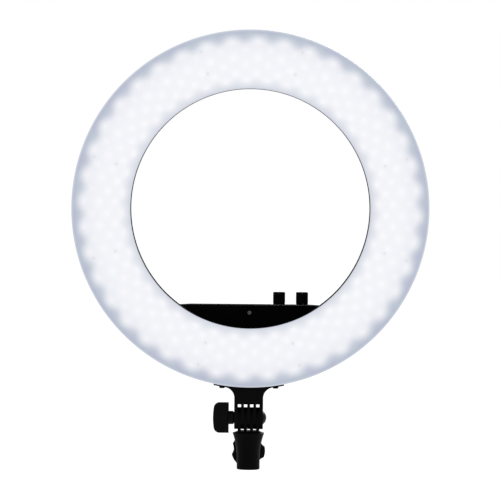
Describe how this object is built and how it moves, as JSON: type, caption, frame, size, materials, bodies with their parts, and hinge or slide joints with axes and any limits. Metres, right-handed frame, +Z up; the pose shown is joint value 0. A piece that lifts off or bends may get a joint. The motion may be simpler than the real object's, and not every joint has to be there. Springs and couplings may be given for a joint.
{
  "type": "led ring light",
  "caption": "Large LED ring light with a white annular diffuser, a control box with two dials behind its foot, and a tilting stand socket with clamp handle and lock knob.",
  "frame": {"origin": "centre of the stand socket's mouth, at its lower end", "axes": "+Z up along the stand's axis, -Y out of the light's front, +X to the right of a viewer who faces the front"},
  "size_m": [0.48, 0.0794, 0.5915],
  "materials": {
    "diffuser": "translucent white acrylic, lit from behind",
    "housing": "black moulded plastic with a fine grain",
    "box": "black moulded plastic, matt",
    "cover": "black moulded plastic, satin",
    "bracket": "black powder coat on cast aluminium",
    "socket": "black glass-filled plastic",
    "knob": "black moulded plastic, slightly glossy",
    "dial": "black moulded plastic, fluted",
    "board": "white solder mask",
    "led": "phosphor under clear resin",
    "control_board": "green solder mask",
    "component": "black epoxy",
    "aluminium": "mill finish sheet",
    "steel": "zinc-plated",
    "black_steel": "blackened steel",
    "grey_steel": "dull grey steel",
    "brass": "turned",
    "display": "dark display glass",
    "window": "clear acrylic",
    "plate": "black moulded plastic",
    "contact": "gold-plated",
    "latch": "dark grey moulded plastic",
    "lead": "black insulation",
    "plug": "white nylon",
    "rocker": "polished black"
  },
  "bodies": {
    "stand_adapter": {"stand_socket": "socket", "lock_insert": "brass"},
    "lock_pad": {"lock_pad": "brass"},
    "lock_knob": {"lock_knob": "knob", "lock_stud": "steel"},
    "ring_head": {"diffuser_cover": "diffuser", "rear_housing": "housing", "heat_plate": "aluminium", "led_board_upper_right": "board", "led_board_upper_left": "board", "led_board_lower_left": "board", "led_board_lower_right": "board", "led_emitters": "led", "board_links": "plug", "board_screws": "steel", "cover_screws": "black_steel", "reinforcing_plate": "steel", "ring_lead": "lead", "lead_plugs": "plug", "box_shell": "box", "box_cover": "cover", "box_mount_screws": "steel", "box_cover_screws": "black_steel", "control_board_screws": "steel", "front_screw": "grey_steel", "centre_standoff": "brass", "control_board": "control_board", "board_parts": "component", "display_module": "display", "display_window": "window", "brightness_control": "steel", "colour_control": "steel", "dial_nuts": "steel", "switch_body": "cover", "power_inlet": "component", "power_inlet_nut": "steel", "battery_plate_right": "plate", "battery_plate_left": "plate", "battery_contacts": "contact", "battery_plate_screws": "black_steel", "neck_bracket": "bracket", "saddle_screws": "black_steel", "tilt_bolt": "black_steel"},
    "tilt_washer": {"tilt_washer": "black_steel"},
    "tilt_handle": {"tilt_handle": "knob", "tilt_handle_insert": "brass"},
    "brightness_dial": {"brightness_dial": "dial", "brightness_shaft": "aluminium"},
    "colour_dial": {"colour_dial": "dial", "colour_shaft": "aluminium"},
    "switch_rocker": {"switch_rocker": "rocker"},
    "battery_latch_right": {"battery_latch_right": "latch"},
    "battery_latch_left": {"battery_latch_left": "latch"}
  },
  "joints": [
    {"name": "head_tilt", "type": "hinge", "parent": "stand_adapter", "child": "ring_head", "pos_m": [0, 0, 0.0696], "axis": [1, 0, 0], "range_deg": [-90, 90]},
    {"name": "tilt_clamp_travel", "type": "slide", "parent": "ring_head", "child": "tilt_washer", "axis": [-1, 0, 0], "range_m": [0, 0.0025]},
    {"name": "tilt_handle_turn", "type": "hinge", "parent": "tilt_washer", "child": "tilt_handle", "pos_m": [-0.0211, 0, 0.0696], "axis": [-1, 0, 0], "range_deg": [0, 720.5]},
    {"name": "lock_travel", "type": "slide", "parent": "stand_adapter", "child": "lock_pad", "axis": [0, 1, 0], "range_m": [-0.00063, 0.00187]},
    {"name": "lock_knob_turn", "type": "hinge", "parent": "lock_pad", "child": "lock_knob", "pos_m": [0, 0.0105, 0.0231], "axis": [0, 1, 0], "range_deg": [-180.5, 540.5]},
    {"name": "brightness_turn", "type": "hinge", "parent": "ring_head", "child": "brightness_dial", "pos_m": [0.071, 0.0325, 0.2207], "axis": [0, 0, -1], "range_deg": [0, 280]},
    {"name": "colour_turn", "type": "hinge", "parent": "ring_head", "child": "colour_dial", "pos_m": [0.04, 0.0325, 0.2207], "axis": [0, 0, -1], "range_deg": [0, 280]},
    {"name": "power_rock", "type": "hinge", "parent": "ring_head", "child": "switch_rocker", "pos_m": [-0.02, 0.0505, 0.1465], "axis": [0, 0, 1], "range_deg": [-16, 0]},
    {"name": "latch_right_press", "type": "slide", "parent": "ring_head", "child": "battery_latch_right", "axis": [0, -1, 0], "range_m": [0, 0.0022], "stiffness_N_per_m": 800, "springref_m": -0.001},
    {"name": "latch_left_press", "type": "slide", "parent": "ring_head", "child": "battery_latch_left", "axis": [0, -1, 0], "range_m": [0, 0.0022], "stiffness_N_per_m": 800, "springref_m": -0.001}
  ],
  "couplings": [
    {"joint": "tilt_handle_turn", "follows": "tilt_clamp_travel", "rad_per_m": 5026.5},
    {"joint": "lock_knob_turn", "follows": "lock_travel", "rad_per_m": 5026.5}
  ]
}
